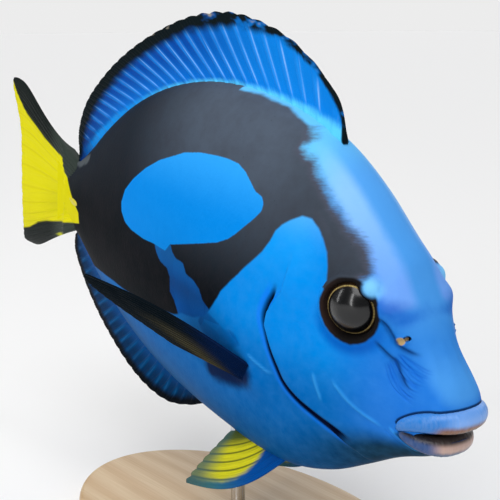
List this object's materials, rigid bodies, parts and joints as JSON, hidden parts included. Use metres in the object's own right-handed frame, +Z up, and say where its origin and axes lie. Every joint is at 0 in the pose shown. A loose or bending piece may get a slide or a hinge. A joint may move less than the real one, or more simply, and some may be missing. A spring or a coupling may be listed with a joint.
{
  "type": "regal blue tang model on a stand",
  "caption": "Still, life-size model of a regal blue tang swimming gently nose down, with ray-ridged fins, held on an oval base by one slim rod.",
  "frame": {"origin": "middle of the underside of the stand's base", "axes": "+X the way the fish heads, +Y its left, +Z up"},
  "size_m": [0.237, 0.0848, 0.1662],
  "materials": {
    "blue_skin": "satin, finely scaled azure skin",
    "dark_skin": "satin, finely scaled charcoal skin with an azure oval",
    "lip": "moist pinkish tan with a blue underside",
    "eye": "glassy black with a thin golden ring",
    "blue_fin": "satin blue membrane over raised rays, black margin",
    "yellow_fin": "satin yellow membrane over raised rays",
    "dark_fin": "satin black and olive membrane over raised rays",
    "stand_wood": "pale maple, satin lacquer",
    "stand_metal": "fine brushed"
  },
  "bodies": {
    "root": {"head": "blue_skin", "trunk": "dark_skin", "tail_stalk": "dark_skin", "upper_lip": "blue_skin", "lower_lip": "lip", "eye_left": "eye", "eye_right": "eye", "dorsal_fin": "blue_fin", "anal_fin": "blue_fin", "tail_fin": "yellow_fin", "pectoral_fin_right": "dark_fin", "pectoral_fin_left": "dark_fin", "pelvic_fin_right": "yellow_fin", "pelvic_fin_left": "yellow_fin", "tail_blade_left": "yellow_fin", "tail_blade_right": "yellow_fin", "stand_base": "stand_wood", "stand_rod": "stand_metal"}
  },
  "joints": []
}
